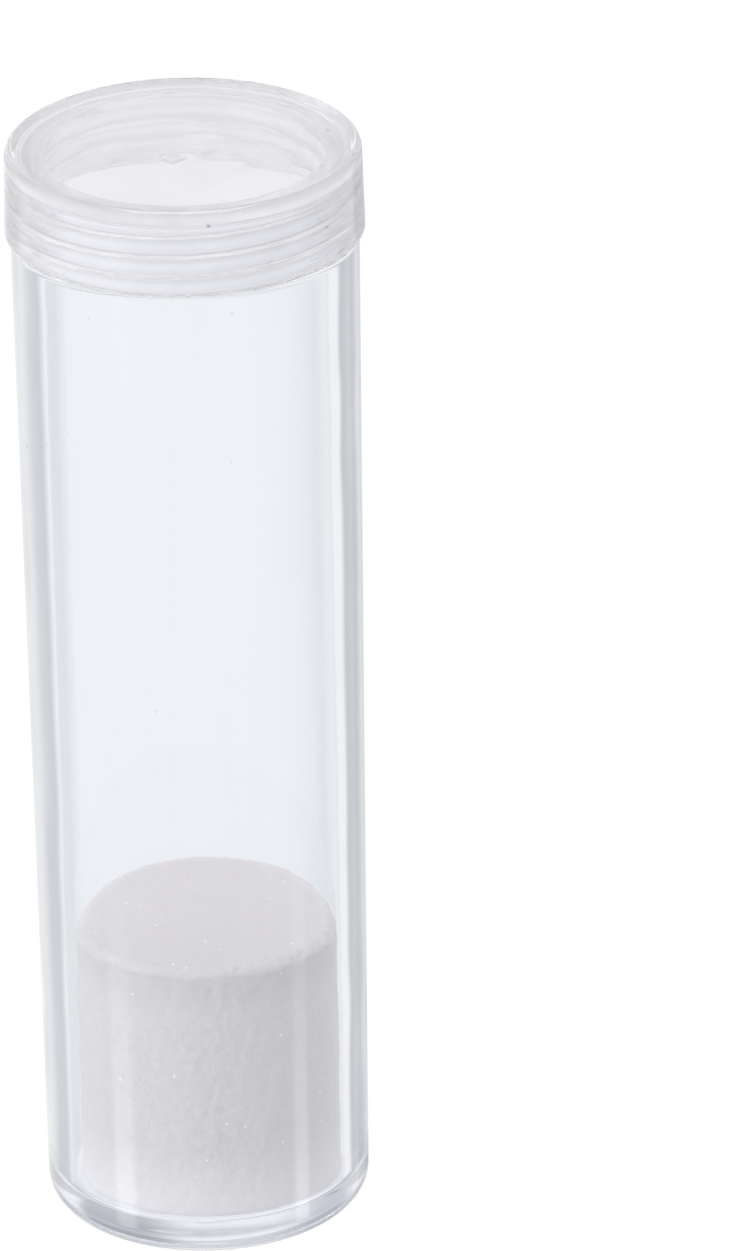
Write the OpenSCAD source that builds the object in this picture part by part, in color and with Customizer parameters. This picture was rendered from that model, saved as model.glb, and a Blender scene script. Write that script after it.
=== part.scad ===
// Clear round coin tube with a screw cap, and a foam pad lying on its floor.
// Millimetres, +Z up. The origin is the middle of the foot's underside, where the tube stands.
// Every piece is turned about Z from a half profile, as the moulds for such a tube are.
// The screw thread is a surface detail of the render: here the neck stands at the thread's root,
// and thread_room is the radial room that the thread fills up to the cap's bore.

/* [Overall] */
// Height of the closed tube, from its foot to the top of the cap
overall_h = 110; // [90:0.5:130]
// Outer diameter of the cap at its open edge
cap_d = 34; // [30:0.1:40]

/* [Cap] */
// Height of the cap
cap_h = 8.5; // [7:0.1:12]
// Thickness of the flat roof
roof_t = 1.7; // [1:0.1:2]
// Thickness of the skirt at its open edge
skirt_t = 1.24; // [1:0.02:1.6]
// Radius that the skirt loses between its open edge and the roof
cap_draw = 0.2; // [0.05:0.05:0.35]
// Rounding of the roof's outer edge
cap_round = 0.8; // [0.4:0.1:1.3]
// Rounding of the skirt's open edge, outside
skirt_round = 0.3; // [0.1:0.05:0.4]
// Fillet inside, between skirt and roof
roof_fillet = 0.4; // [0.1:0.05:0.5]
// Diameter of the gate mark under the middle of the roof
gate_d = 2; // [1:0.1:5]
// Height of the gate mark
gate_h = 0.2; // [0.1:0.05:0.4]

/* [Neck] */
// Radial room between the neck and the cap's bore, which the thread fills
thread_room = 0.6; // [0.4:0.05:0.8]
// Wall of the neck at its mouth
neck_t = 1.7; // [1.2:0.05:2.1]
// Gap between the skirt's open edge and the tube's shoulder, with the cap home
skirt_gap = 0.3; // [0.1:0.05:0.6]
// Fillet where the neck stands on the shoulder
neck_fillet = 0.3; // [0.1:0.05:0.35]
// Chamfer on both edges of the rim
rim_chamfer = 0.25; // [0.1:0.05:0.3]

/* [Tube] */
// How far the cap stands out past the tube, all round
cap_overhang = 0.55; // [0.3:0.05:1]
// Draft of the outer wall, in degrees
wall_draft = 0.54; // [0.2:0.01:0.7]
// Draft of the bore, in degrees
bore_draft = 0.15; // [0.1:0.01:0.3]
// Thickness of the base
base_t = 3.2; // [2:0.1:6]
// Rounding of the foot's outer edge
foot_round = 2.9; // [1:0.1:3.5]
// Rounding of the shoulder's outer edge
shoulder_round = 0.5; // [0.2:0.05:0.8]
// Fillet between the floor and the bore
floor_fillet = 1; // [0.4:0.1:1.5]
// Diameter of the dimple that keeps the gate's stub off the table
dimple_d = 5; // [3:0.1:8]
// Depth of the dimple
dimple_h = 0.4; // [0.2:0.05:0.8]

/* [Foam pad] */
// Height of the pad, at the highest point of its top
pad_h = 27.6; // [10:0.1:60]
// Room between the pad and the bore at the floor, with the pad in the middle
pad_room = 0.58; // [0.4:0.01:2]
// Gap that is left on the side that the pad lies towards
pad_gap = 0.25; // [0.2:0.05:0.35]
// Rounding of the pad's upper edge
pad_round = 0.5; // [0.2:0.1:1.5]

/* [Hidden] */
$fn = 128;
// how far a cut runs past the face it opens
overrun = 1;
// how far inside a rounding's circle a sloping wall ends, so that the two outlines cross cleanly
crossing = 0.001;

// heights
cap_foot_z = overall_h - cap_h;
rim_z = overall_h - roof_t;
shoulder_z = cap_foot_z - skirt_gap;

// radii, from the cap inwards
cap_r = cap_d / 2;
cap_top_r = cap_r - cap_draw;
cap_bore_r = cap_r - skirt_t;
neck_r = cap_bore_r - thread_room;
mouth_r = neck_r - neck_t;
floor_r = mouth_r - (rim_z - base_t) * tan(bore_draft);
wall_top_r = cap_r - cap_overhang;
wall_foot_r = wall_top_r - shoulder_z * tan(wall_draft);

// the pad lies to +X in the bore, and its lower edge is rounded as the floor's fillet is
pad_r = floor_r - pad_room;
pad_x = pad_room - pad_gap;

// Radius at height z on a wall that runs straight from r0 at z0 to r1 at z1.
function wall_r(r0, r1, z0, z1, z) = r0 + (r1 - r0) * (z - z0) / (z1 - z0);

// Half profile of a turned solid with a straight drafted wall, whose foot and top edges are rounded
// by arcs that meet the wall, the foot and the top smoothly.
module turned_profile(r0, r1, z0, z1, foot, top) {
  lean = atan2(r1 - r0, z1 - z0);
  foot_z = z0 + foot;
  foot_x = wall_r(r0, r1, z0, z1, foot_z) - foot / cos(lean);
  top_z = z1 - top;
  top_x = wall_r(r0, r1, z0, z1, top_z) - top / cos(lean);
  polygon([
    [0, z0],
    [foot_x, z0],
    [foot_x + (foot - crossing) * cos(lean), foot_z - (foot - crossing) * sin(lean)],
    [top_x + (top - crossing) * cos(lean), top_z - (top - crossing) * sin(lean)],
    [top_x, z1],
    [0, z1]
  ]);
  translate([foot_x, foot_z]) circle(foot);
  translate([top_x, top_z]) circle(top);
}

// Thick-walled tube: rounded foot, solid base, shoulder and the neck that carries the cap.
module tube_body() {
  color([0.86, 0.92, 0.95, 0.45])
    difference() {
      rotate_extrude() {
        turned_profile(wall_foot_r, wall_top_r, 0, shoulder_z, foot_round, shoulder_round);
        neck_profile();
      }
      rotate_extrude() bore_profile();
      translate([0, 0, -overrun]) cylinder(d = dimple_d, h = dimple_h + overrun);
    }
}

// The neck runs from inside the shoulder to the rim, with a fillet at its root.
module neck_profile() {
  polygon([
    [0, shoulder_z - neck_t],
    [neck_r, shoulder_z - neck_t],
    [neck_r, rim_z - rim_chamfer],
    [neck_r - rim_chamfer, rim_z],
    [0, rim_z]
  ]);
  difference() {
    translate([0, shoulder_z - neck_t]) square([neck_r + neck_fillet, neck_t + neck_fillet]);
    translate([neck_r + neck_fillet, shoulder_z + neck_fillet]) circle(neck_fillet);
  }
}

// What the core takes out of the tube: a drafted bore on a filleted floor, chamfered at the rim.
module bore_profile() {
  lean = atan2(mouth_r - floor_r, rim_z - base_t);
  foot_z = base_t + floor_fillet;
  foot_x = wall_r(floor_r, mouth_r, base_t, rim_z, foot_z) - floor_fillet / cos(lean);
  chamfer_r = wall_r(floor_r, mouth_r, base_t, rim_z, rim_z - rim_chamfer);
  polygon([
    [0, base_t],
    [foot_x, base_t],
    [foot_x + (floor_fillet - crossing) * cos(lean), foot_z - (floor_fillet - crossing) * sin(lean)],
    [chamfer_r, rim_z - rim_chamfer],
    [mouth_r + rim_chamfer, rim_z],
    [mouth_r + rim_chamfer, rim_z + overrun],
    [0, rim_z + overrun]
  ]);
  translate([foot_x, foot_z]) circle(floor_fillet);
}

// Cap: flat roof with a rounded edge, and a skirt whose bore clears the neck by thread_room.
// The underside of the roof lies on the rim, and the skirt stops skirt_gap above the shoulder.
module screw_cap() {
  color([0.87, 0.86, 0.91, 0.6]) {
    difference() {
      rotate_extrude()
        turned_profile(cap_r, cap_top_r, cap_foot_z, overall_h, skirt_round, cap_round);
      rotate_extrude() cap_bore_profile();
    }
    translate([0, 0, rim_z - gate_h]) cylinder(d = gate_d, h = gate_h + roof_t / 2);
  }
}

// The cap's bore, with a lead-in at the open edge and a fillet under the roof.
module cap_bore_profile() {
  polygon([
    [0, cap_foot_z - overrun],
    [cap_bore_r + skirt_round, cap_foot_z - overrun],
    [cap_bore_r + skirt_round, cap_foot_z],
    [cap_bore_r, cap_foot_z + skirt_round],
    [cap_bore_r, rim_z - roof_fillet],
    [cap_bore_r - roof_fillet, rim_z],
    [0, rim_z]
  ]);
  translate([cap_bore_r - roof_fillet, rim_z - roof_fillet]) circle(roof_fillet);
}

// Foam pad: a soft plug that lies loose on the floor, off the middle by pad_x.
module foam_pad() {
  color([0.87, 0.85, 0.89])
    translate([pad_x, 0, 0])
      rotate_extrude()
        turned_profile(pad_r, pad_r, base_t, base_t + pad_h, floor_fillet, pad_round);
}

tube_body();
screw_cap();
foam_pad();
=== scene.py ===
"""Dresses the packed coin tube: clear tube, milky screw cap and the foam pad on its floor."""

import math

import bpy
import numpy as np
from bpy.props import FloatProperty, FloatVectorProperty, IntProperty, PointerProperty
from mathutils import Matrix, Vector, noise


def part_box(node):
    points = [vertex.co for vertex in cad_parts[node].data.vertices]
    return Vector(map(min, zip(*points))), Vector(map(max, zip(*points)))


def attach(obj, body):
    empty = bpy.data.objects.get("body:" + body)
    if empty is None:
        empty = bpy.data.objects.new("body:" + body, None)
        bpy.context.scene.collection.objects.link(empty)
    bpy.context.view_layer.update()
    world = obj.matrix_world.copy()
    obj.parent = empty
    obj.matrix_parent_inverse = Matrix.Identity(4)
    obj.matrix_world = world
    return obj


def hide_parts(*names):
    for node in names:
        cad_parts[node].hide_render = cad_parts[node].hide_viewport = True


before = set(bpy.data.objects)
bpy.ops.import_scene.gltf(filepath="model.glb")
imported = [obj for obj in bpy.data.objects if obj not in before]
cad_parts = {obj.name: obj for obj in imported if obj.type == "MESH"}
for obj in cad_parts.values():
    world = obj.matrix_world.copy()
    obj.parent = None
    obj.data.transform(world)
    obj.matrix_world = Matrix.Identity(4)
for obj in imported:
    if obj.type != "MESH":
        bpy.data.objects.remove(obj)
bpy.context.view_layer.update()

bl_info = {
    "name": "Coin Tube",
    "version": (1, 0, 0),
    "blender": (4, 5, 0),
    "location": "3D View > Sidebar > Coin Tube",
    "description": "Builds a clear coin tube with its screw cap and foam pad, and a plain studio",
    "category": "Object",
}

TUBE_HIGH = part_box("tube_body")[1]
CAP_LOW, CAP_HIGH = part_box("screw_cap")
PAD_LOW, PAD_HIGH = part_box("foam_pad")

# Radii closer together than this belong to the same wall.
SAME_WALL = 1e-7
# Distance between rings of points along a threaded wall, a plain wall and the foam's faces.
THREAD_STEP = 0.00004
PLAIN_STEP = 0.02
FOAM_STEP = 0.0004
# How far the thread stays from the shoulder, from the rim and from the cap's roof, in pitches.
THREAD_START = 0.5
NECK_END = 0.6
CAP_END = 0.4
# The cap's ridges run in the neck's grooves, half a turn of the profile on.
NECK_PHASE = 0.0
CAP_PHASE = 0.5

# Light crosses the thick clear wall many times before it comes out.
LIGHT_BOUNCES = 64
SEE_THROUGH_BOUNCES = 32
# Share of the lamps' light that each face of the two plastics lets past.
CLEAR_FILM = (0.985, 0.99, 0.99)
MILKY_FILM = (0.96, 0.96, 0.965)
# Refraction of the two plastics.
CLEAR_IOR = 1.53
MILKY_IOR = 1.5
# Share of a plastic's tint that its flow streaks, its ripples, its dust and its dark specks keep.
STREAK_SHADE = 0.985
RIPPLE_SHADE = 0.97
DUST_SHADE = 0.75
SPECK_SHADE = 0.35
# Heights between which the tint of the thick base comes in.
BASE_EDGES = (0.006, 0.002)
# Where a groove's painted shade begins and is full, in turns of the profile from the groove's
# middle.
GROOVE_EDGE = 0.24
GROOVE_FLOOR = 0.04
# Distances over which that shade comes in: from the middle of the wall towards the thread, up from
# the fillet at the neck's root, and down from the one under the cap's roof.
GROOVE_FADE = 0.0002
ROOT_FADE = 0.0004
ROOF_FADE = 0.0003
# Distance from the cap's bore to the middle of its skirt.
SKIRT_MIDDLE = 0.0006
# Dark specks on the cap: bearing from the front in degrees, radius, height and size.
CAP_SPECKS = (
    (8.2, 0.0169, 0.1086, 0.00026),
    (28.4, 0.0169, 0.1042, 0.00012),
    (52.0, 0.0169, 0.1056, 0.0002),
)
# Depth of the pad's uppermost layer, which slopes with its top.
PAD_TOP_LAYER = 0.003
# Painted shade on the pad's top towards the front and on its upper edge in front, and painted light
# on that edge behind.
PAD_TOP_SHADE = 0.93
PAD_FRONT_EDGE_SHADE = 0.92
PAD_BACK_EDGE_LIGHT = 1.1
# Distances down from the pad's top and in from its side at which these shades begin and are full.
PAD_DOWN = (0.006, 0.0012)
PAD_IN = (0.002, 0.0004)
# Places along Y at which the top's shade begins and is full, the share of X by which it turns to
# the right, and the places along Y between which the edge's front shade gives way to its back one.
PAD_AHEAD = (0.008, -0.014)
PAD_SLANT = 0.3
PAD_BEHIND = (-0.004, 0.004)
# Height up to which painted light lightens the pad from its foot, in place of the light that the
# clear base sends up.
PAD_PAINTED_LIGHT_HEIGHT = 0.009
# Colour of the foam's glinting cells: a painted glint, lighter than the foam, while their lower
# roughness also catches the lamps.
GLINT = (0.9, 0.9, 0.91)
# Bearings in degrees where the shade beside the white background comes in and goes out.
LEFT_SHADE_EDGES = (-56, -44, -38, -14)
RIGHT_SHADE_EDGES = (2, 18, 37, 45)
# How much of the right shade is left where it isn't mirrored.
RIGHT_SHADE_THROUGH = 0.3
# Z of the directions in which the backdrop ends and in which the ceiling is full.
CEILING_EDGES = (-0.2, 0.4)
WHITE = (1.0, 1.0, 1.0)
# The floor's grey, and the glow that takes a share of it for the camera.
FLOOR_GREY = (0.88, 0.88, 0.88)
FLOOR_GLOW = 1.04
FLOOR_GLOW_SHARE = 0.85
# Where the two softboxes stand and how tall they are, and the height and width of the light above.
SOFTBOX_DISTANCE = 0.7
SOFTBOX_MIDDLE = 0.5
SOFTBOX_HEIGHT = 0.9
OVERHEAD_HEIGHT = 0.9
OVERHEAD_WIDTH = 0.6
# Distance of the streak cards from the axis, and the heights of their lower and upper edge.
CARD_DISTANCE = 0.35
CARD_FOOT = -0.2
CARD_TOP = -0.11
# Brightness of a streak card beside its streak, and the share of its width that is brightest.
CARD_GLOW = 0.9
CARD_CORE = 0.3


def length(name, description, default):
    """A size in metres."""
    return FloatProperty(
        name=name, description=description, default=default, min=0.0, precision=5,
        subtype="DISTANCE", unit="LENGTH",
    )


def share(name, description, default):
    """A number from 0 to 1."""
    return FloatProperty(
        name=name, description=description, default=default, min=0.0, max=1.0, subtype="FACTOR",
    )


def power(name, description, default):
    """A lamp's power in watts."""
    return FloatProperty(
        name=name, description=description, default=default, min=0.0, unit="POWER",
    )


def brightness(name, description, default):
    """A brightness from 0 up."""
    return FloatProperty(name=name, description=description, default=default, min=0.0)


def colour(name, description, default):
    """A colour without alpha."""
    return FloatVectorProperty(
        name=name, description=description, default=default, min=0.0, max=1.0, size=3,
        subtype="COLOR",
    )


class TubeSizes(bpy.types.PropertyGroup):
    """The clear tube, inside the box that its CAD node gives."""

    foot_radius: length("Foot radius", "Outer radius that the wall has at the foot", 0.0155)
    shoulder_radius: length("Shoulder radius", "Outer radius just under the cap", 0.01645)
    shoulder_height: length("Shoulder height", "Height of the step that the neck stands on", 0.1012)
    foot_round: length("Foot rounding", "Rounding of the foot's outer edge", 0.0029)
    shoulder_round: length("Shoulder rounding", "Rounding of the shoulder's edge", 0.0005)
    neck_radius: length("Neck radius", "Radius of the neck between the thread's ridges", 0.01516)
    neck_fillet: length("Neck fillet", "Fillet between the shoulder and the neck", 0.0003)
    rim_round: length("Rim rounding", "Rounding of both edges of the rim", 0.00025)
    mouth_radius: length("Mouth radius", "Radius of the bore at the rim", 0.01346)
    floor_radius: length("Floor radius", "Radius of the bore at the floor", 0.01319)
    floor_height: length("Floor height", "Thickness of the base", 0.0032)
    floor_fillet: length("Floor fillet", "Fillet between the floor and the bore", 0.001)
    dimple_radius: length("Dimple radius", "Dimple under the foot", 0.0025)
    dimple_depth: length("Dimple depth", "Depth of the dimple under the foot", 0.00015)


class CapSizes(bpy.types.PropertyGroup):
    """The screw cap, inside the box that its CAD node gives."""

    open_radius: length("Open edge radius", "Outer radius at the open edge", 0.017)
    roof_radius: length("Roof radius", "Outer radius that the skirt has at the roof", 0.0168)
    edge_round: length("Roof rounding", "Rounding of the roof's outer edge", 0.0008)
    skirt_round: length("Skirt rounding", "Rounding of the open edge", 0.0003)
    bore_radius: length("Bore radius", "Radius of the bore between the thread's ridges", 0.01576)
    roof_fillet: length("Roof fillet", "Fillet under the roof", 0.0004)
    roof_thickness: length("Roof thickness", "Thickness of the roof", 0.0017)
    seat_gap: length("Seat gap", "Air left between the roof and the rim", 0.00003)
    gate_radius: length("Gate mark radius", "Radius of the mark under the roof", 0.0009)
    gate_height: length("Gate mark height", "Height of the mark under the roof", 0.0002)
    gate_shift: FloatVectorProperty(
        name="Gate mark shift", description="How far off the middle the mark is", size=3,
        default=(-0.0008, -0.0023, 0.0), precision=5, subtype="TRANSLATION", unit="LENGTH",
    )


class ThreadSizes(bpy.types.PropertyGroup):
    """The right-hand thread between neck and cap."""

    pitch: length("Pitch", "Rise of the thread in one turn", 0.002)
    neck_ridge: length("Neck ridge", "How far the neck's ridge stands out", 0.00036)
    cap_ridge: length("Cap ridge", "How far the cap's ridge stands in", 0.00036)
    crest: share("Crest share", "Width of a ridge's crest, as a share of the pitch", 0.05)
    root: share("Root share", "Width of a ridge's foot, as a share of the pitch", 0.9)


class PadSizes(bpy.types.PropertyGroup):
    """The foam pad, inside the box that its CAD node gives."""

    edge_round: length("Edge rounding", "Rounding of the upper edge", 0.001)
    foot_round: length("Foot rounding", "Rounding of the lower edge", 0.001)
    raggedness: length("Raggedness", "How far the cut face wanders inwards", 0.00026)
    grain: length("Grain", "Distance between neighbouring bumps of the cut face", 0.0009)
    slope: length("Slope", "How much lower the top is cut in front than behind", 0.0008)
    seat_gap: length("Seat gap", "Air left between the pad and the floor", 0.00004)


class Finishes(bpy.types.PropertyGroup):
    """Colours of the clear plastic, the milky plastic and the foam, with the painted shade in the
    grooves and the painted light and shade on the foam.
    """

    tube_tint: colour(
        "Tube tint", "What each face of the clear plastic lets through", (0.962, 0.978, 1.0),
    )
    base_tint: colour(
        "Base tint", "What each face of the thick base lets through", (0.92, 0.93, 1.0),
    )
    cap_tint: colour(
        "Cap tint", "What each face of the milky plastic lets through", (0.928, 0.921, 0.945),
    )
    gate_tint: colour(
        "Gate mark tint", "What the mark under the cap's roof lets through", (0.7, 0.71, 0.76),
    )
    cap_haze: share("Cap haze", "Share of the cap's light that it scatters like milk glass", 0.2)
    # painted shade: the grooves of the neck and of the cap keep these shares of their colour, to
    # draw the thread's lines
    neck_groove_shade: share("Neck groove", "Share of the light that the grooves of the neck keep", 0.66)
    cap_groove_shade: share("Cap groove", "Share of the light that the grooves of the cap keep", 0.84)
    foam_light: colour("Foam, light", "Cell walls of the foam", (0.68, 0.646, 0.67))
    foam_dark: colour("Foam, dark", "Open cells of the foam", (0.648, 0.615, 0.639))
    # painted light: the pad's foot gets this lighter colour in place of the light that the clear
    # base sends up
    foam_foot_painted_light: colour("Foam, foot", "Foot of the pad, lit by the clear base", (0.79, 0.762, 0.79))


class StudioSettings(bpy.types.PropertyGroup):
    """Camera, floor and lights."""

    lens: FloatProperty(
        name="Lens", description="Focal length", default=380.67, min=1.0, unit="CAMERA",
    )
    camera_place: FloatVectorProperty(
        name="Camera place", description="Where the camera stands", size=3, precision=5,
        default=(0.01614, -1.14518, 0.58853), subtype="TRANSLATION", unit="LENGTH",
    )
    camera_tilt: FloatProperty(
        name="Camera tilt", description="How far the camera looks down", precision=4,
        default=math.radians(24.7815), subtype="ANGLE", unit="ROTATION",
    )
    camera_roll: FloatProperty(
        name="Camera roll", description="How far the camera is turned about its view", precision=4,
        default=math.radians(-1.1348), subtype="ANGLE", unit="ROTATION",
    )
    floor_size: length("Floor size", "Width of the floor", 8.0)
    ambient: brightness("Ambient", "Light from all round", 0.64)
    ceiling: share("Ceiling", "Brightness above the backdrop, seen in and through plastic", 0.66)
    surround: share("Surround", "Brightness of the low surroundings in reflections", 0.9)
    white: brightness("White", "Brightness of the background seen through plastic", 0.94)
    left_shade: colour("Left shade", "What stands left of the white", (0.62, 0.635, 0.67))
    right_shade: colour("Right shade", "What stands right of the white", (0.56, 0.575, 0.6))
    key_light: power("Key light", "Strength of the left softbox", 3.0)
    fill_light: power("Fill light", "Strength of the right softbox", 0.2)
    top_light: power("Top light", "Strength of the soft light above", 3.0)
    streak: brightness("Streaks", "Brightness of the low streaks that the wall mirrors", 3.4)
    turns: IntProperty(
        name="Turned steps", description="Steps round each turned piece", default=360, min=32,
    )


def arc(x, z, radius, start, stop, steps=8):
    """Points on a round of an outline, by angle in degrees from +X towards +Z."""
    angles = np.radians(np.linspace(start, stop, steps + 1))
    return [(x + radius * math.cos(a), z + radius * math.sin(a)) for a in angles]


def close_points(outline, gap, guard=0.00012):
    """The same outline with points no further apart than gap, and one close to each corner."""
    points = [outline[0]]
    for (x0, z0), (x1, z1) in zip(outline, outline[1:]):
        reach = math.hypot(x1 - x0, z1 - z0)
        if reach > 3 * guard:
            middle = reach - 2 * guard
            inner = max(1, math.ceil(middle / gap))
            shares = [(guard + middle * i / inner) / reach for i in range(inner + 1)]
            points += [(x0 + (x1 - x0) * s, z0 + (z1 - z0) * s) for s in shares]
        points.append((x1, z1))
    return points


def threaded_outline(outline, radius, above):
    """The same outline with close points along the threaded wall, which has this radius and lies
    above this height."""
    points = [outline[0]]
    for start, stop in zip(outline, outline[1:]):
        upright = max(abs(start[0] - radius), abs(stop[0] - radius)) < SAME_WALL
        step = THREAD_STEP if upright and stop[1] > above else PLAIN_STEP
        points += close_points([start, stop], step)[1:]
    return points


def spun(name, outline, steps, shape):
    """A closed solid turned about Z from an outline that starts on the axis under the solid and
    ends on the axis above it. shape(angle, r, z) gives a point's r and z as it goes round."""
    faces = []
    rings = outline[1:-1]
    points = [(0.0, 0.0, shape(0.0, 0.0, outline[0][1])[1])]
    for r, z in rings:
        for i in range(steps):
            angle = 2 * math.pi * i / steps
            pr, pz = shape(angle, r, z)
            points.append((pr * math.cos(angle), pr * math.sin(angle), pz))
    points.append((0.0, 0.0, shape(0.0, 0.0, outline[-1][1])[1]))
    last = len(points) - 1
    top = 1 + (len(rings) - 1) * steps
    for i in range(steps):
        j = (i + 1) % steps
        faces.append((0, 1 + j, 1 + i))
        faces.append((last, top + i, top + j))
    for k in range(len(rings) - 1):
        low, high = 1 + k * steps, 1 + (k + 1) * steps
        for i in range(steps):
            j = (i + 1) % steps
            faces.append((low + i, low + j, high + j, high + i))
    mesh = bpy.data.meshes.new(name)
    mesh.from_pydata(points, [], faces)
    mesh.validate()
    mesh.shade_smooth()
    piece = bpy.data.objects.new(name, mesh)
    bpy.context.collection.objects.link(piece)
    return piece


def ease(x):
    """0 below 0, 1 above 1, and smooth between."""
    x = min(max(x, 0.0), 1.0)
    return x * x * (3 - 2 * x)


def thread_start(tube, thread):
    """Height at which the first ridge begins."""
    return tube.shoulder_height + THREAD_START * thread.pitch


def ridge_share(thread, angle, z, low, high, offset):
    """How much of a thread's ridge stands at this angle and height, from 0 to 1."""
    turn = (z - low) / thread.pitch - angle / (2 * math.pi) - offset
    off = turn - round(turn)
    crest, root = thread.crest / 2, thread.root / 2
    middle = z - off * thread.pitch
    run_out = thread.pitch / 6
    ends = ease((middle - low) / run_out) * ease((high - middle) / run_out)
    return ends * ease((root - abs(off)) / (root - crest))


def climb(thread, angle, z, low, high):
    """How far a point of a threaded wall goes up, so that its rows of points follow the thread.
    Twice in a turn they come back down, and they stay level at the wall's ends, low and high."""
    back = 0.06
    reach = 0.3 * thread.pitch
    half_turn = angle / math.pi % 1
    risen = min(half_turn, (1 - half_turn) * (1 - back) / back) - (1 - back) / 2
    level = max(min(z - low, high - z, reach), 0.0) / reach
    return thread.pitch / 2 * level * risen


def link(tree, source, target):
    """Joins two sockets."""
    tree.links.new(source, target)


def feed(tree, value, target):
    """Joins two sockets, or sets one to a number or to a colour without alpha."""
    if isinstance(value, bpy.types.NodeSocket):
        link(tree, value, target)
    elif target.type == "RGBA":
        target.default_value = (*value, 1.0)
    else:
        target.default_value = value


def maths(tree, operation, first, second=None):
    """A Math node on sockets or numbers."""
    node = tree.nodes.new("ShaderNodeMath")
    node.operation = operation
    feed(tree, first, node.inputs[0])
    if second is not None:
        feed(tree, second, node.inputs[1])
    return node.outputs[0]


def spread(tree, value, low, high, to_low=0.0, to_high=1.0):
    """A smooth Map Range node."""
    node = tree.nodes.new("ShaderNodeMapRange")
    node.interpolation_type = "SMOOTHSTEP"
    link(tree, value, node.inputs["Value"])
    numbers = {"From Min": low, "From Max": high, "To Min": to_low, "To Max": to_high}
    for socket, number in numbers.items():
        node.inputs[socket].default_value = number
    return node.outputs["Result"]


def blended(tree, factor, first, second):
    """A Mix node between two colours, each a socket or a colour."""
    node = tree.nodes.new("ShaderNodeMix")
    node.data_type = "RGBA"
    link(tree, factor, node.inputs["Factor"])
    feed(tree, first, node.inputs[6])
    feed(tree, second, node.inputs[7])
    return node.outputs[2]


def either(tree, factor, first, second):
    """A Mix node between two numbers, each a socket or a number."""
    node = tree.nodes.new("ShaderNodeMix")
    link(tree, factor, node.inputs["Factor"])
    feed(tree, first, node.inputs[2])
    feed(tree, second, node.inputs[3])
    return node.outputs[0]


def scaled(tree, value, factor):
    """A colour times a number, both sockets."""
    node = tree.nodes.new("ShaderNodeVectorMath")
    node.operation = "SCALE"
    link(tree, value, node.inputs[0])
    link(tree, factor, node.inputs["Scale"])
    return node.outputs["Vector"]


def dimmed(tint, factor):
    """A colour made darker, or lighter by a factor above 1."""
    return [channel * factor for channel in tint]


def new_group(name, inputs, outputs):
    """An empty shader node group with these float sockets."""
    group = bpy.data.node_groups.new(name, "ShaderNodeTree")
    for socket, default in inputs:
        made = group.interface.new_socket(socket, in_out="INPUT", socket_type="NodeSocketFloat")
        made.default_value = default
    for socket in outputs:
        group.interface.new_socket(socket, in_out="OUTPUT", socket_type="NodeSocketFloat")
    return group, group.nodes.new("NodeGroupInput"), group.nodes.new("NodeGroupOutput")


def place_group(tree, group, **values):
    """Puts a group into a material and sets its inputs."""
    node = tree.nodes.new("ShaderNodeGroup")
    node.node_tree = group
    for name, value in values.items():
        node.inputs[name.replace("_", " ")].default_value = value
    return node


def object_point(tree):
    """Object coordinates, which stay with the piece."""
    return tree.nodes.new("ShaderNodeTexCoord").outputs["Object"]


def coordinates(tree):
    """X, Y and Z of a point of the piece."""
    place = tree.nodes.new("ShaderNodeSeparateXYZ")
    link(tree, object_point(tree), place.inputs[0])
    return place.outputs


def texture(tree, kind, point, **inputs):
    """A texture node at a point, with its inputs given as sockets or numbers."""
    node = tree.nodes.new(kind)
    link(tree, point, node.inputs["Vector"])
    for name, value in inputs.items():
        feed(tree, value, node.inputs[name])
    return node.outputs


def moulding_flow():
    """Slow ripples and flow streaks that moulded plastic keeps from its mould."""
    if "Moulding Flow" in bpy.data.node_groups:
        return bpy.data.node_groups["Moulding Flow"]
    group, given, out = new_group(
        "Moulding Flow", [("Ripple Scale", 90.0), ("Streak Scale", 300.0)], ["Height", "Streaks"],
    )
    ripple = texture(
        group, "ShaderNodeTexNoise", object_point(group),
        Scale=given.outputs["Ripple Scale"], Detail=1.0,
    )
    # the streaks run along the tube, about 17 times as long as they are wide
    stretch = group.nodes.new("ShaderNodeMapping")
    stretch.inputs["Scale"].default_value = (1.0, 1.0, 0.06)
    link(group, object_point(group), stretch.inputs["Vector"])
    streaks = texture(
        group, "ShaderNodeTexNoise", stretch.outputs["Vector"],
        Scale=given.outputs["Streak Scale"], Detail=2.0,
    )
    link(group, ripple["Fac"], out.inputs["Height"])
    link(group, streaks["Fac"], out.inputs["Streaks"])
    return group


def scattered_specks():
    """Small round specks, dust or bubbles, thinly scattered through a piece."""
    if "Scattered Specks" in bpy.data.node_groups:
        return bpy.data.node_groups["Scattered Specks"]
    group, given, out = new_group(
        "Scattered Specks", [("Scale", 400.0), ("Speck Size", 0.1), ("Share", 0.3)], ["Mask"],
    )
    scale = given.outputs["Scale"]
    cells = texture(group, "ShaderNodeTexVoronoi", object_point(group), Scale=scale)
    inside = maths(group, "LESS_THAN", cells["Distance"], given.outputs["Speck Size"])
    parts = group.nodes.new("ShaderNodeSeparateColor")
    link(group, cells["Color"], parts.inputs["Color"])
    chosen = maths(group, "LESS_THAN", parts.outputs[0], given.outputs["Share"])
    link(group, maths(group, "MULTIPLY", inside, chosen), out.inputs["Mask"])
    return group


def marks(tree, places):
    """A mask of small round marks, each given by its bearing from the front towards +X in degrees,
    its radius from the axis, its height and its size."""
    mask = 0.0
    for bearing, radius, height, size in places:
        angle = math.radians(bearing)
        reach = tree.nodes.new("ShaderNodeVectorMath")
        reach.operation = "DISTANCE"
        link(tree, object_point(tree), reach.inputs[0])
        spot = (radius * math.sin(angle), -radius * math.cos(angle), height)
        reach.inputs[1].default_value = spot
        mask = maths(tree, "MAXIMUM", spread(tree, reach.outputs["Value"], size, size / 2), mask)
    return mask


def from_axis(tree, x, y):
    """Distance of a point from the Z axis."""
    square = maths(tree, "ADD", maths(tree, "MULTIPLY", x, x), maths(tree, "MULTIPLY", y, y))
    return maths(tree, "SQRT", square)


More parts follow.
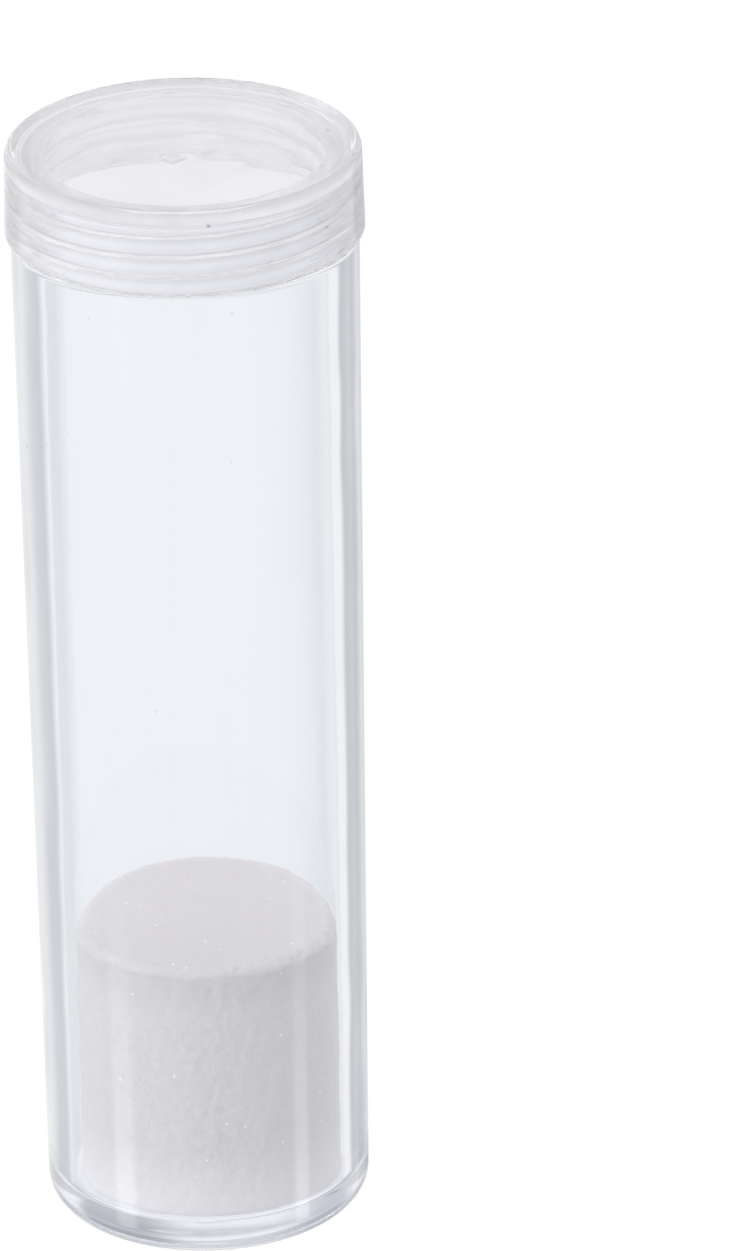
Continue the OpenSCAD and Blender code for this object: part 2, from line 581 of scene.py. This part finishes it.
def grooves(tree, thread, start, offset, face, height):
    """A mask of a thread's grooves. face gives two distances from the axis and height two heights,
    between which the mask comes in; beyond the second it is full."""
    x, y, z = coordinates(tree)
    turn = maths(tree, "DIVIDE", maths(tree, "ARCTAN2", y, x), 2 * math.pi)
    rise = maths(tree, "DIVIDE", maths(tree, "SUBTRACT", z, start), thread.pitch)
    turned = maths(tree, "SUBTRACT", rise, turn)
    phase = maths(tree, "FRACT", maths(tree, "SUBTRACT", turned, offset))
    off_middle = maths(tree, "ABSOLUTE", maths(tree, "SUBTRACT", phase, 0.5))
    groove = spread(tree, off_middle, GROOVE_EDGE, GROOVE_FLOOR)
    on_face = spread(tree, from_axis(tree, x, y), *face)
    wall = maths(tree, "MULTIPLY", on_face, spread(tree, z, *height))
    return maths(tree, "MULTIPLY", groove, wall)


def new_material(name):
    """A material with only its shader and output."""
    material = bpy.data.materials.new(name)
    material.use_nodes = True
    tree = material.node_tree
    return material, tree, tree.nodes["Principled BSDF"], tree.nodes["Material Output"]


def mixed_shaders(tree, factor, first, second):
    """A Mix Shader node between the first outputs of two shader nodes."""
    mix = tree.nodes.new("ShaderNodeMixShader")
    link(tree, factor, mix.inputs[0])
    link(tree, first.outputs[0], mix.inputs[1])
    link(tree, second.outputs[0], mix.inputs[2])
    return mix.outputs[0]


def let_lamps_through(tree, shader, output, film):
    """Lets lamps and soft light past clear plastic, so that what it holds is lit."""
    path = tree.nodes.new("ShaderNodeLightPath")
    past = maths(tree, "MAXIMUM", path.outputs["Is Shadow Ray"], path.outputs["Is Diffuse Ray"])
    clear = tree.nodes.new("ShaderNodeBsdfTransparent")
    feed(tree, film, clear.inputs["Color"])
    link(tree, mixed_shaders(tree, past, shader, clear), output.inputs["Surface"])


def bumped(tree, shader, height, strength, distance):
    """Feeds a height to the shader's normal."""
    bump = tree.nodes.new("ShaderNodeBump")
    bump.inputs["Strength"].default_value = strength
    bump.inputs["Distance"].default_value = distance
    link(tree, height, bump.inputs["Height"])
    link(tree, bump.outputs["Normal"], shader.inputs["Normal"])


def clear_plastic(finish, thread, sizes):
    """Clear, polished plastic with a faint blue cast, with painted shade in the thread's grooves,
    and bluer in the thick base."""
    material, tree, shader, output = new_material("clear plastic")
    flow = place_group(tree, moulding_flow(), Ripple_Scale=60.0, Streak_Scale=260.0)
    dust = place_group(tree, scattered_specks(), Scale=260.0, Speck_Size=0.035, Share=0.12)
    tint = finish.tube_tint
    streaks = spread(tree, flow.outputs["Streaks"], 0.3, 0.7)
    streaked = blended(tree, streaks, tint, dimmed(tint, STREAK_SHADE))
    # painted shade darkens the thread's grooves, on the neck's outer face only, from the fillet at
    # its root up
    middle = (sizes.neck_radius + sizes.mouth_radius) / 2
    root = sizes.shoulder_height + sizes.neck_fillet
    groove = grooves(
        tree, thread, thread_start(sizes, thread), NECK_PHASE,
        face=(middle, middle + GROOVE_FADE), height=(root, root + ROOT_FADE),
    )
    groove_shaded = blended(tree, groove, streaked, dimmed(tint, finish.neck_groove_shade))
    dusty = blended(tree, dust.outputs["Mask"], groove_shaded, dimmed(tint, DUST_SHADE))
    thick = spread(tree, coordinates(tree)["Z"], *BASE_EDGES)
    based = blended(tree, thick, dusty, finish.base_tint)
    roughness = spread(tree, dust.outputs["Mask"], 0.0, 1.0, to_high=0.3)
    link(tree, based, shader.inputs["Base Color"])
    link(tree, roughness, shader.inputs["Roughness"])
    shader.inputs["IOR"].default_value = CLEAR_IOR
    shader.inputs["Transmission Weight"].default_value = 1.0
    bumped(tree, shader, flow.outputs["Height"], strength=0.25, distance=0.0004)
    let_lamps_through(tree, shader, output, CLEAR_FILM)
    return material


def milky_plastic(finish, thread, start, sizes, roof):
    """Translucent plastic with a slight haze and a few dark specks, with painted shade in the
    thread's grooves, and darker round the gate mark."""
    material, tree, shader, output = new_material("milky plastic")
    flow = place_group(tree, moulding_flow(), Ripple_Scale=140.0, Streak_Scale=400.0)
    specks = place_group(tree, scattered_specks(), Scale=230.0, Speck_Size=0.04, Share=0.15)
    tint = finish.cap_tint
    ripples = spread(tree, flow.outputs["Height"], 0.35, 0.65)
    rippled = blended(tree, ripples, tint, dimmed(tint, RIPPLE_SHADE))
    # painted shade darkens the thread's grooves, on the skirt's inner face only, up to the fillet
    # under the roof
    middle = sizes.bore_radius + SKIRT_MIDDLE
    ceiling = roof - sizes.roof_fillet
    groove = grooves(
        tree, thread, start, CAP_PHASE,
        face=(middle, middle - GROOVE_FADE), height=(ceiling, ceiling - ROOF_FADE),
    )
    groove_shaded = blended(tree, groove, rippled, dimmed(tint, finish.cap_groove_shade))
    left, behind, above = sizes.gate_shift
    bearing, reach = math.degrees(math.atan2(left, -behind)), math.hypot(left, behind)
    gate = marks(tree, [(bearing, reach, roof + above, 1.5 * sizes.gate_radius)])
    gated = blended(tree, gate, groove_shaded, finish.gate_tint)
    dark = maths(tree, "MAXIMUM", specks.outputs["Mask"], marks(tree, CAP_SPECKS))
    specked = blended(tree, dark, gated, dimmed(tint, SPECK_SHADE))
    roughness = spread(tree, flow.outputs["Streaks"], 0.3, 0.7, to_low=0.03, to_high=0.06)
    link(tree, specked, shader.inputs["Base Color"])
    link(tree, roughness, shader.inputs["Roughness"])
    shader.inputs["IOR"].default_value = MILKY_IOR
    shader.inputs["Transmission Weight"].default_value = 1.0 - finish.cap_haze
    bumped(tree, shader, flow.outputs["Height"], strength=0.3, distance=0.0004)
    let_lamps_through(tree, shader, output, MILKY_FILM)
    return material


def pale_foam(finish, middle, radius, low, high):
    """Fine-celled foam with a few cells painted lighter as glints, whose lower roughness also
    catches the lamps. Its foot is painted lighter, in place of the light that the clear base sends
    up. Its top has painted shade towards the front and the right, and its cut upper edge has
    painted shade in front and painted light behind."""
    material, tree, shader, _ = new_material("pale foam")
    cells = texture(tree, "ShaderNodeTexVoronoi", object_point(tree), Scale=2400.0)
    mottle = texture(tree, "ShaderNodeTexNoise", object_point(tree), Scale=2200.0, Detail=4.0)
    glints = place_group(tree, scattered_specks(), Scale=620.0, Speck_Size=0.075, Share=0.4)
    open_cell = spread(tree, cells["Distance"], 0.1, 0.7)
    worn = maths(tree, "MULTIPLY", open_cell, spread(tree, mottle["Fac"], 0.35, 0.65))
    x, y, z = coordinates(tree)
    light = finish.foam_light
    plain = blended(tree, worn, light, finish.foam_dark)
    # painted light: the foot is lighter, in place of the light that the clear base sends up
    foot = spread(tree, z, low + PAD_PAINTED_LIGHT_HEIGHT, low)
    foot_painted_light = blended(tree, foot, plain, finish.foam_foot_painted_light)
    upper = spread(tree, z, *(high - depth for depth in PAD_DOWN))
    # painted shade: the top is darker towards the front and a little towards the right
    slant = maths(tree, "SUBTRACT", y, maths(tree, "MULTIPLY", x, PAD_SLANT))
    ahead = maths(tree, "MULTIPLY", spread(tree, slant, *PAD_AHEAD), upper)
    top_shaded = blended(tree, ahead, foot_painted_light, dimmed(light, PAD_TOP_SHADE))
    # painted shade on the upper edge in front, and painted light on it behind
    reach = from_axis(tree, maths(tree, "SUBTRACT", x, middle), y)
    outer = spread(tree, reach, *(radius - depth for depth in PAD_IN))
    rim = maths(tree, "MULTIPLY", outer, upper)
    behind = spread(tree, y, *PAD_BEHIND)
    edge = blended(tree, behind, dimmed(light, PAD_FRONT_EDGE_SHADE), dimmed(light, PAD_BACK_EDGE_LIGHT))
    edge_shaded = blended(tree, rim, top_shaded, edge)
    # painted glints: a few cells are lighter in colour, and their lower roughness also catches the
    # lamps
    painted_glints = blended(tree, glints.outputs["Mask"], edge_shaded, GLINT)
    roughness = spread(tree, glints.outputs["Mask"], 0.0, 1.0, to_low=0.95, to_high=0.35)
    link(tree, painted_glints, shader.inputs["Base Color"])
    link(tree, roughness, shader.inputs["Roughness"])
    shader.inputs["Specular IOR Level"].default_value = 0.25
    relief = maths(tree, "SUBTRACT", mottle["Fac"], open_cell)
    bumped(tree, shader, relief, strength=0.12, distance=0.0001)
    return material


def tube_outline(s, rim):
    """From the axis under the foot, out and up the wall, over the rim and down the bore."""
    lean = math.degrees(math.atan2(s.shoulder_radius - s.foot_radius, s.shoulder_height))

    def wall(z):
        return s.foot_radius + (s.shoulder_radius - s.foot_radius) * z / s.shoulder_height

    def bore(z):
        up = (z - s.floor_height) / (rim - s.floor_height)
        return s.floor_radius + (s.mouth_radius - s.floor_radius) * up

    foot, shoulder, fillet, edge = s.foot_round, s.shoulder_round, s.neck_fillet, s.rim_round
    ledge = s.shoulder_height - shoulder
    corner = s.floor_height + s.floor_fillet
    steps = 8
    shares = [i / steps for i in range(steps + 1)]
    points = [(s.dimple_radius * out, s.dimple_depth * (1 - ease(out))) for out in shares]
    points += arc(wall(foot) - foot, foot, foot, -90, -lean, 20)
    points += arc(wall(ledge) - shoulder, ledge, shoulder, -lean, 90)
    points += arc(s.neck_radius + fillet, s.shoulder_height + fillet, fillet, 270, 180)
    points += arc(s.neck_radius - edge, rim - edge, edge, 0, 90)
    points += arc(bore(rim) + edge, rim - edge, edge, 90, 180)
    points += arc(bore(corner) - s.floor_fillet, corner, s.floor_fillet, 0, -90, 12)
    points.append((0, s.floor_height))
    return points


def cap_outline(s, low, high):
    """From the axis under the roof, out and down the bore, round the skirt's edge and up to the
    top."""
    rise = high - low
    lean = math.degrees(math.atan2(s.open_radius - s.roof_radius, rise))

    def side(z):
        return s.open_radius + (s.roof_radius - s.open_radius) * (z - low) / rise

    roof = high - s.roof_thickness + s.seat_gap
    edge, skirt, fillet = s.edge_round, s.skirt_round, s.roof_fillet
    bend = 0.4 * s.gate_height
    points = [(0, high)]
    points += arc(side(high - edge) - edge, high - edge, edge, 90, lean, 16)
    points += arc(side(low + skirt) - skirt, low + skirt, skirt, lean, -90)
    points += arc(s.bore_radius + skirt, low + skirt, skirt, 270, 180)
    points += arc(s.bore_radius - fillet, roof - fillet, fillet, 0, 90)
    points += arc(s.gate_radius + bend, roof - bend, bend, 90, 180, 4)
    points += arc(s.gate_radius - bend, roof - s.gate_height + bend, bend, 0, -90, 4)
    points.append((0, roof - s.gate_height))
    return points[::-1]


def pad_outline(s, radius, low, high):
    """From the axis under the pad, out, up its side and in over its top."""
    foot, edge = s.foot_round, s.edge_round
    points = [(0, low)]
    points += arc(radius - foot, low + foot, foot, -90, 0)
    points += arc(radius - edge, high - edge, edge, 0, 90)
    points.append((0, high))
    return points


def finish_piece(piece, body, node, material):
    """Gives a piece its material and its body, and hides the CAD node that it stands for."""
    piece.data.materials.append(material)
    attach(piece, body)
    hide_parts(node)


class COINTUBE_OT_tube(bpy.types.Operator):
    """Build the clear tube with its threaded neck"""

    bl_idname = "coin_tube.tube"
    bl_label = "Clear tube"

    def execute(self, context):
        scene = context.scene
        sizes, thread = scene.coin_tube_sizes, scene.coin_tube_thread
        rim = TUBE_HIGH[2]
        start, end = thread_start(sizes, thread), rim - NECK_END * thread.pitch
        root, edge = sizes.shoulder_height + sizes.neck_fillet, rim - sizes.rim_round

        def shape(angle, r, z):
            if abs(r - sizes.neck_radius) < SAME_WALL and z > sizes.shoulder_height:
                z += climb(thread, angle, z, root, edge)
                r += thread.neck_ridge * ridge_share(thread, angle, z, start, end, NECK_PHASE)
            return r, z

        plain = tube_outline(sizes, rim)
        outline = threaded_outline(plain, sizes.neck_radius, sizes.shoulder_height)
        piece = spun("clear_tube", outline, scene.coin_tube_studio.turns, shape)
        material = clear_plastic(scene.coin_tube_finishes, thread, sizes)
        finish_piece(piece, "tube", "tube_body", material)
        return {"FINISHED"}


class COINTUBE_OT_cap(bpy.types.Operator):
    """Build the milky screw cap with its inner thread"""

    bl_idname = "coin_tube.cap"
    bl_label = "Screw cap"

    def execute(self, context):
        scene = context.scene
        sizes, thread = scene.coin_tube_cap, scene.coin_tube_thread
        low, high = CAP_LOW[2], CAP_HIGH[2]
        roof = high - sizes.roof_thickness
        start, end = thread_start(scene.coin_tube_sizes, thread), roof - CAP_END * thread.pitch
        edge, ceiling = low + sizes.skirt_round, roof - sizes.roof_fillet

        def on_gate_mark(r, z):
            return r < 2 * sizes.gate_radius and z < high - sizes.roof_thickness / 2

        def shape(angle, r, z):
            if abs(r - sizes.bore_radius) < SAME_WALL and z < roof:
                z += climb(thread, angle, z, edge, ceiling)
                r -= thread.cap_ridge * ridge_share(thread, angle, z, start, end, CAP_PHASE)
            elif on_gate_mark(r, z):
                # the plastic was torn off here, so the mark isn't round
                r *= 1 + 0.25 * math.sin(2 * angle + 0.6) + 0.12 * math.sin(3 * angle)
            return r, z

        outline = threaded_outline(cap_outline(sizes, low, high), sizes.bore_radius, low)
        piece = spun("threaded_cap", outline, scene.coin_tube_studio.turns, shape)
        for vertex in piece.data.vertices:
            if on_gate_mark(math.hypot(vertex.co.x, vertex.co.y), vertex.co.z):
                vertex.co += Vector(sizes.gate_shift)
        material = milky_plastic(scene.coin_tube_finishes, thread, start, sizes, roof)
        finish_piece(piece, "cap", "screw_cap", material)
        return {"FINISHED"}


class COINTUBE_OT_pad(bpy.types.Operator):
    """Build the foam pad with its ragged cut faces"""

    bl_idname = "coin_tube.pad"
    bl_label = "Foam pad"

    def execute(self, context):
        scene = context.scene
        sizes = scene.coin_tube_pad
        radius = (PAD_HIGH[0] - PAD_LOW[0]) / 2
        middle = Vector(((PAD_HIGH[0] + PAD_LOW[0]) / 2, (PAD_HIGH[1] + PAD_LOW[1]) / 2, 0.0))

        def shape(angle, r, z):
            # bumps about three times the grain, of the grain itself and of less than half of it
            spot = Vector((r * math.cos(angle), r * math.sin(angle), z)) / sizes.grain
            coarse = noise.noise(spot * 0.35)
            fine = noise.noise(spot) + 0.6 * noise.noise(spot * 2.3)
            pull = max(sizes.raggedness * (0.5 + 0.35 * coarse + 0.4 * fine), 0.0)
            # the side is pulled inwards and the top down, most at the upper edge
            inwards = ease((r - radius * 0.8) / (radius * 0.2))
            upper = ease((z - PAD_HIGH[2] + PAD_TOP_LAYER) / PAD_TOP_LAYER)
            drop = sizes.slope * (1 - r * math.sin(angle) / radius) / 2
            return r - pull * inwards, z - (pull * (0.3 + 0.7 * inwards) + drop) * upper

        plain = pad_outline(sizes, radius, PAD_LOW[2] + sizes.seat_gap, PAD_HIGH[2])
        outline = close_points(plain, FOAM_STEP)
        piece = spun("foam_plug", outline, scene.coin_tube_studio.turns, shape)
        piece.data.transform(Matrix.Translation(middle))
        material = pale_foam(scene.coin_tube_finishes, middle[0], radius, PAD_LOW[2], PAD_HIGH[2])
        finish_piece(piece, "pad", "foam_pad", material)
        return {"FINISHED"}


def floor_material():
    """Plain pale floor that keeps the shadow and shows white to the camera."""
    material, tree, shader, output = new_material("pale floor")
    tree.nodes.remove(shader)
    path = tree.nodes.new("ShaderNodeLightPath")
    matt = tree.nodes.new("ShaderNodeBsdfDiffuse")
    feed(tree, FLOOR_GREY, matt.inputs["Color"])
    glow = tree.nodes.new("ShaderNodeEmission")
    glow.inputs["Strength"].default_value = FLOOR_GLOW
    glow_share = maths(tree, "MULTIPLY", path.outputs["Is Camera Ray"], FLOOR_GLOW_SHARE)
    mixed = mixed_shaders(tree, glow_share, matt, glow)
    link(tree, mixed, output.inputs["Surface"])
    return material


def between(tree, bearing, *edges):
    """1 between the second and third of four bearings in degrees, 0 beyond the first and last."""
    first, second, third, last = (math.radians(edge) for edge in edges)
    rise = spread(tree, bearing, first, second)
    fall = spread(tree, bearing, third, last, to_low=1.0, to_high=0.0)
    return maths(tree, "MULTIPLY", rise, fall)


def beside_white(tree, parts, studio):
    """Colour of the surroundings by their bearing from straight behind the tube. The white
    background is only so wide, and what lies beside it looks darker in and through the plastic."""
    bearing = maths(tree, "ARCTAN2", parts["X"], parts["Y"])
    left = blended(tree, between(tree, bearing, *LEFT_SHADE_EDGES), WHITE, studio.left_shade)
    mirrors = tree.nodes.new("ShaderNodeLightPath").outputs["Glossy Depth"]
    strength = spread(tree, mirrors, 0.0, 1.0, to_low=RIGHT_SHADE_THROUGH)
    right = maths(tree, "MULTIPLY", between(tree, bearing, *RIGHT_SHADE_EDGES), strength)
    return blended(tree, right, left, studio.right_shade)


def studio_world(studio):
    """White to the camera, a soft ceiling in and through plastic, and even light on all else."""
    world = bpy.data.worlds.new("soft studio")
    bpy.context.scene.world = world
    world.use_nodes = True
    tree = world.node_tree
    tree.nodes.clear()
    direction = tree.nodes.new("ShaderNodeSeparateXYZ")
    link(tree, tree.nodes.new("ShaderNodeTexCoord").outputs["Generated"], direction.inputs[0])
    parts = direction.outputs
    beside = beside_white(tree, parts, studio)
    path = tree.nodes.new("ShaderNodeLightPath")
    mirrored, through = path.outputs["Is Glossy Ray"], path.outputs["Is Transmission Ray"]
    low = either(tree, through, studio.surround, studio.white)
    high = spread(tree, parts["Z"], *CEILING_EDGES)
    around = scaled(tree, beside, either(tree, high, low, studio.ceiling))
    in_plastic = maths(tree, "MAXIMUM", mirrored, through)
    lit = blended(tree, in_plastic, [studio.ambient] * 3, around)
    seen = blended(tree, path.outputs["Is Camera Ray"], lit, WHITE)
    sky = tree.nodes.new("ShaderNodeBackground")
    output = tree.nodes.new("ShaderNodeOutputWorld")
    link(tree, seen, sky.inputs["Color"])
    link(tree, sky.outputs[0], output.inputs["Surface"])


def soft_lamp(name, place, watts):
    """A soft light that neither the camera nor clear plastic shows."""
    light = bpy.data.lights.new(name, "AREA")
    light.energy = watts
    lamp = bpy.data.objects.new(name, light)
    lamp.location = place
    lamp.visible_camera = lamp.visible_transmission = False
    bpy.context.collection.objects.link(lamp)
    return lamp


def softbox(name, bearing, width, watts):
    """An upright soft light, which polished faces don't mirror. bearing is in degrees from the
    camera's side, towards +X."""
    angle = math.radians(bearing)
    away = Vector((math.sin(angle), -math.cos(angle), 0.0)) * SOFTBOX_DISTANCE
    lamp = soft_lamp(name, away + Vector((0.0, 0.0, SOFTBOX_MIDDLE)), watts)
    lamp.data.shape = "RECTANGLE"
    lamp.data.size, lamp.data.size_y = width, SOFTBOX_HEIGHT
    lamp.rotation_euler = away.to_track_quat("Z", "Y").to_euler()
    lamp.visible_glossy = False


def overhead(watts):
    """A level soft light above the tube."""
    lamp = soft_lamp("overhead_softbox", (0.0, 0.0, OVERHEAD_HEIGHT), watts)
    lamp.data.size = OVERHEAD_WIDTH


def streak_card(name, bearing, width, strength):
    """An upright card under the level of the floor that only reflections show. It is bright at its
    foot and dark at its top, so that the wall mirrors it as a soft streak. bearing and width are in
    degrees, from the camera's side towards +X."""
    half = width / 2
    corners = []
    for side, z in ((-half, CARD_FOOT), (half, CARD_FOOT), (half, CARD_TOP), (-half, CARD_TOP)):
        angle = math.radians(bearing + side)
        corners.append((CARD_DISTANCE * math.sin(angle), -CARD_DISTANCE * math.cos(angle), z))
    mesh = bpy.data.meshes.new(name)
    mesh.from_pydata(corners, [], [(0, 1, 2, 3)])
    material, tree, shader, output = new_material(name)
    tree.nodes.remove(shader)
    x, y, z = coordinates(tree)
    seen = maths(tree, "ARCTAN2", x, maths(tree, "MULTIPLY", y, -1.0))
    core = half * CARD_CORE
    wide = between(tree, seen, bearing - half, bearing - core, bearing + core, bearing + half)
    tall = spread(tree, z, CARD_FOOT, CARD_TOP, to_low=strength - CARD_GLOW, to_high=0.0)
    glow = tree.nodes.new("ShaderNodeEmission")
    bright = maths(tree, "ADD", maths(tree, "MULTIPLY", wide, tall), CARD_GLOW)
    link(tree, bright, glow.inputs["Strength"])
    link(tree, glow.outputs[0], output.inputs["Surface"])
    mesh.materials.append(material)
    card = bpy.data.objects.new(name, mesh)
    card.visible_camera = card.visible_diffuse = False
    card.visible_transmission = card.visible_shadow = False
    bpy.context.collection.objects.link(card)


def lay_floor(width):
    """A square floor that neither reflections nor clear plastic show."""
    half = width / 2
    corners = [(-half, -half, 0), (half, -half, 0), (half, half, 0), (-half, half, 0)]
    mesh = bpy.data.meshes.new("floor")
    mesh.from_pydata(corners, [], [(0, 1, 2, 3)])
    mesh.materials.append(floor_material())
    floor = bpy.data.objects.new("floor", mesh)
    floor.visible_glossy = floor.visible_transmission = False
    bpy.context.collection.objects.link(floor)


def place_camera(studio):
    """The photograph's camera, which looks down along +Y and is turned a little about its view."""
    data = bpy.data.cameras.new("camera")
    data.sensor_width = 36.0
    data.lens = studio.lens
    data.clip_end = 50.0
    camera = bpy.data.objects.new("camera", data)
    tilt, roll = studio.camera_tilt, studio.camera_roll
    ahead = Vector((0.0, math.cos(tilt), -math.sin(tilt)))
    up = Vector((0.0, math.sin(tilt), math.cos(tilt)))
    right = Vector((1.0, 0.0, 0.0))
    turned_right = math.cos(roll) * right + math.sin(roll) * up
    turned_up = math.cos(roll) * up - math.sin(roll) * right
    facing = Matrix((turned_right, turned_up, -ahead)).transposed()
    camera.matrix_world = Matrix.Translation(studio.camera_place) @ facing.to_4x4()
    bpy.context.collection.objects.link(camera)
    bpy.context.scene.camera = camera


class COINTUBE_OT_stage(bpy.types.Operator):
    """Set up the floor, the soft lights and the camera"""

    bl_idname = "coin_tube.stage"
    bl_label = "Studio"

    def execute(self, context):
        scene = context.scene
        studio = scene.coin_tube_studio
        scene.view_settings.view_transform = "Standard"
        scene.cycles.max_bounces = LIGHT_BOUNCES
        scene.cycles.transmission_bounces = LIGHT_BOUNCES
        scene.cycles.glossy_bounces = LIGHT_BOUNCES
        scene.cycles.transparent_max_bounces = SEE_THROUGH_BOUNCES
        lay_floor(studio.floor_size)
        studio_world(studio)
        softbox("left_softbox", bearing=-62.0, width=0.5, watts=studio.key_light)
        softbox("right_softbox", bearing=74.0, width=0.2, watts=studio.fill_light)
        overhead(studio.top_light)
        streak_card("left_streak", bearing=-60.5, width=24.0, strength=studio.streak)
        streak_card("right_streak", bearing=70.0, width=17.0, strength=studio.streak)
        place_camera(studio)
        return {"FINISHED"}


class COINTUBE_PT_sidebar(bpy.types.Panel):
    """Lists the pieces of the coin tube and their sizes"""

    bl_label = "Coin Tube"
    bl_idname = "COINTUBE_PT_sidebar"
    bl_space_type = "VIEW_3D"
    bl_region_type = "UI"
    bl_category = "Coin Tube"

    def draw(self, context):
        layout = self.layout
        for operator in OPERATORS:
            layout.operator(operator.bl_idname)
        for name, group in GROUPS:
            box = layout.box()
            box.label(text=group.__doc__)
            for key in group.__annotations__:
                box.prop(getattr(context.scene, name), key)


OPERATORS = (COINTUBE_OT_stage, COINTUBE_OT_tube, COINTUBE_OT_cap, COINTUBE_OT_pad)
GROUPS = (
    ("coin_tube_sizes", TubeSizes),
    ("coin_tube_cap", CapSizes),
    ("coin_tube_thread", ThreadSizes),
    ("coin_tube_pad", PadSizes),
    ("coin_tube_finishes", Finishes),
    ("coin_tube_studio", StudioSettings),
)


def register():
    """Adds the settings to the scene, and the operators and the panel to Blender."""
    for name, group in GROUPS:
        bpy.utils.register_class(group)
        setattr(bpy.types.Scene, name, PointerProperty(type=group))
    for cls in (*OPERATORS, COINTUBE_PT_sidebar):
        bpy.utils.register_class(cls)


def unregister():
    """Takes away what register added."""
    for cls in (COINTUBE_PT_sidebar, *reversed(OPERATORS)):
        bpy.utils.unregister_class(cls)
    for name, group in reversed(GROUPS):
        delattr(bpy.types.Scene, name)
        bpy.utils.unregister_class(group)


def main():
    """Builds the studio and every piece."""
    register()
    bpy.ops.coin_tube.stage()
    bpy.ops.coin_tube.tube()
    bpy.ops.coin_tube.cap()
    bpy.ops.coin_tube.pad()


if __name__ == "__main__":
    main()
